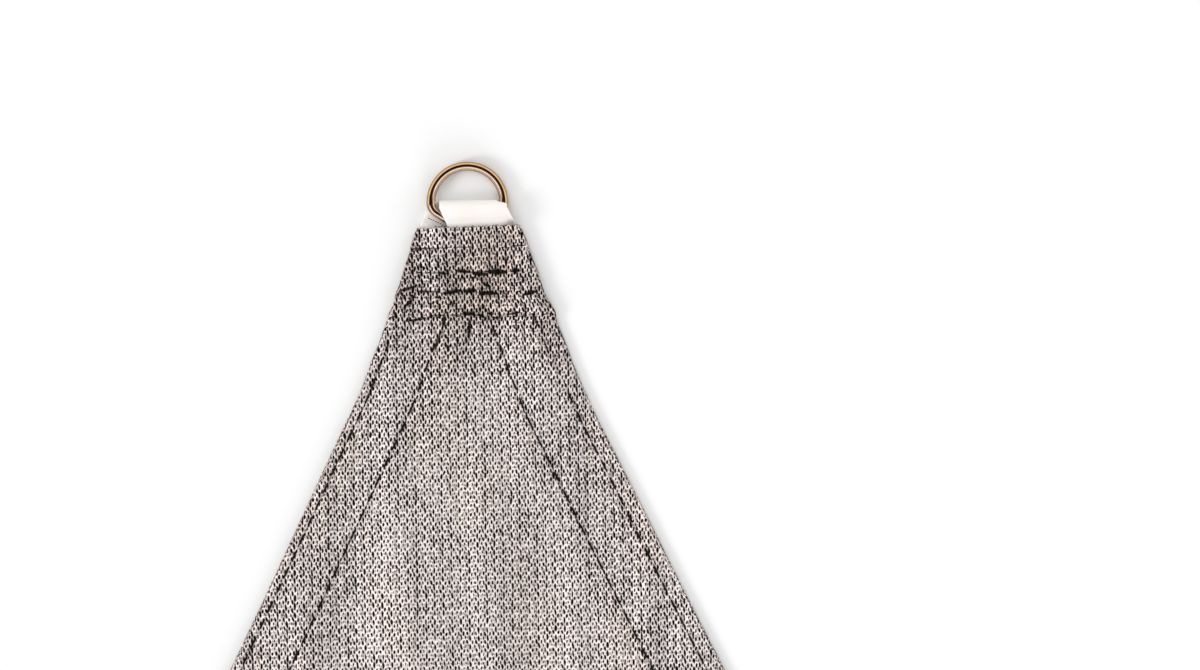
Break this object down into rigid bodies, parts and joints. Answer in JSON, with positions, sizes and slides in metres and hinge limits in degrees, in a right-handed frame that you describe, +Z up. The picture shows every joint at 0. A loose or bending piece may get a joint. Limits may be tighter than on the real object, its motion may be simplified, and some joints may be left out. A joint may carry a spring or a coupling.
{
  "type": "shade sail",
  "caption": "Triangular shade sail of knitted cloth laid flat, with turned and stitched hems and a folded webbing strap and D-ring at each blunt corner.",
  "frame": {"origin": "centre of the footprint's box, on the ground under the sail", "axes": "+Z up out of the face, +Y towards the corner in the picture, +X to the right of it as seen from the face"},
  "size_m": [1.9898, 1.732, 0.011],
  "materials": {
    "knitted_cloth": "warm grey open knit of flat and round yarns, matt with small glints, in soft vertical bands",
    "webbing": "off-white twill-woven webbing, matt",
    "polished_steel": "polished round wire, welded in the bar"
  },
  "bodies": {
    "root": {"sail_cloth": "knitted_cloth", "strap_top": "webbing", "strap_left": "webbing", "strap_right": "webbing", "ring_top": "polished_steel", "ring_left": "polished_steel", "ring_right": "polished_steel"}
  },
  "joints": []
}
